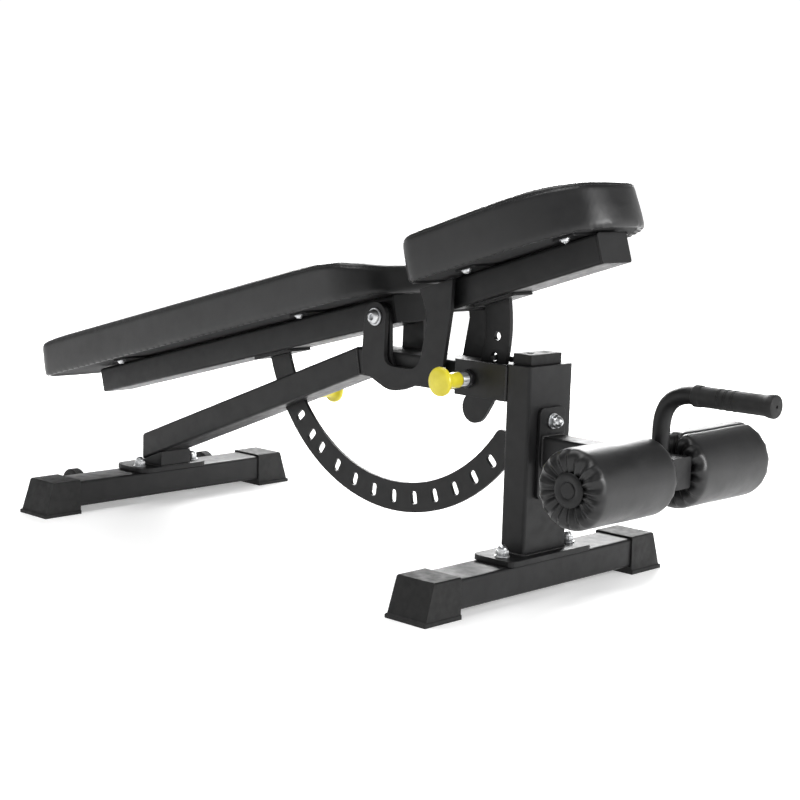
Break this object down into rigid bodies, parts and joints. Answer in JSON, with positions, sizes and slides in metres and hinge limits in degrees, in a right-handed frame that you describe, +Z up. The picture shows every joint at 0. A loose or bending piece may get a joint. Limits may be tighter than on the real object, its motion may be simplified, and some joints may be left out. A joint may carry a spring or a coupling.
{
  "type": "adjustable weight bench",
  "caption": "Adjustable flat, incline and decline weight bench with a slotted ladder arc, pull pins, padded seat and back, and a leg holder with foam rollers and a handle.",
  "frame": {"origin": "middle of the footprint's box, on the floor", "axes": "+X along the bench towards the leg holder, +Y to the far side, +Z up"},
  "size_m": [1.7194, 0.629, 0.6846],
  "materials": {
    "powder_coat": "satin black powder coat",
    "vinyl": "grained black vinyl with a soft sheen",
    "rubber": "matt black",
    "black_plastic": "moulded, fine texture",
    "yellow_plastic": "moulded yellow",
    "zinc": "bright zinc plate",
    "plywood": "raw plywood"
  },
  "bodies": {
    "frame": {"rear_foot_tube": "powder_coat", "rear_foot_cap_near": "rubber", "rear_foot_cap_far": "rubber", "rear_foot_bolt_near": "zinc", "rear_foot_bolt_far": "zinc", "front_foot_tube": "powder_coat", "front_foot_cap_near": "rubber", "front_foot_cap_far": "rubber", "front_foot_bolt_near": "zinc", "front_foot_bolt_far": "zinc", "rear_base_plate": "powder_coat", "spine_slope": "powder_coat", "spine_level": "powder_coat", "front_post": "powder_coat", "post_bumper": "rubber", "pivot_bracket_near": "powder_coat", "pivot_bracket_far": "powder_coat", "post_cheek_near": "powder_coat", "post_cheek_far": "powder_coat", "wheel_bracket_near": "powder_coat", "wheel_bracket_far": "powder_coat", "pivot_bolt": "zinc", "seat_pin_barrel": "zinc", "back_pin_barrel": "zinc", "leg_holder_arm": "powder_coat", "leg_holder_plug": "black_plastic", "leg_holder_bolt_upper": "zinc", "leg_holder_bolt_lower": "zinc", "roller_shaft": "zinc", "handle_tube": "powder_coat", "handle_grip": "rubber"},
    "seat": {"seat_tube": "powder_coat", "seat_plug_front": "black_plastic", "seat_yoke_bridge": "powder_coat", "seat_yoke_near": "powder_coat", "seat_yoke_far": "powder_coat", "seat_strap": "powder_coat", "seat_bracket_rear": "powder_coat", "seat_bracket_front": "powder_coat", "seat_board": "plywood", "seat_cushion": "vinyl"},
    "back": {"back_tube": "powder_coat", "back_plug_head": "black_plastic", "back_plug_seat": "black_plastic", "back_pivot_sleeve": "zinc", "ladder_arc": "powder_coat", "back_bracket_head": "powder_coat", "back_bracket_seat": "powder_coat", "back_board": "plywood", "back_cushion": "vinyl"},
    "seat_pin": {"seat_pin_plunger": "zinc", "seat_pin_knob": "yellow_plastic"},
    "back_pin": {"back_pin_plunger": "zinc", "back_pin_knob": "yellow_plastic"},
    "roller_1": {"roller_near": "vinyl", "roller_cap_near": "black_plastic"},
    "roller_2": {"roller_far": "vinyl", "roller_cap_far": "black_plastic"},
    "wheel_1": {"transport_wheel_near": "rubber"},
    "wheel_2": {"transport_wheel_far": "rubber"}
  },
  "joints": [
    {"name": "back_pivot", "type": "hinge", "parent": "frame", "child": "back", "pos_m": [0.0847, 0, 0.435], "axis": [0, 1, 0], "range_deg": [0, 103]},
    {"name": "seat_pivot", "type": "hinge", "parent": "frame", "child": "seat", "pos_m": [0.0847, 0, 0.435], "axis": [0, 1, 0], "range_deg": [0, 17.4]},
    {"name": "seat_pin_pull", "type": "slide", "parent": "frame", "child": "seat_pin", "axis": [0, -1, 0], "range_m": [0, 0.012], "stiffness_N_per_m": 900, "springref_m": -0.008},
    {"name": "back_pin_pull", "type": "slide", "parent": "frame", "child": "back_pin", "axis": [0, 1, 0], "range_m": [0, 0.012], "stiffness_N_per_m": 900, "springref_m": -0.008},
    {"name": "roller_near_spin", "type": "hinge", "parent": "frame", "child": "roller_1", "pos_m": [0.6577, -0.13, 0.238], "axis": [0, 1, 0], "continuous": true},
    {"name": "roller_far_spin", "type": "hinge", "parent": "frame", "child": "roller_2", "pos_m": [0.6577, 0.13, 0.238], "axis": [0, 1, 0], "continuous": true},
    {"name": "wheel_near_spin", "type": "hinge", "parent": "frame", "child": "wheel_1", "pos_m": [-0.6573, -0.168, 0.036], "axis": [0, 1, 0], "continuous": true},
    {"name": "wheel_far_spin", "type": "hinge", "parent": "frame", "child": "wheel_2", "pos_m": [-0.6573, 0.168, 0.036], "axis": [0, 1, 0], "continuous": true}
  ]
}
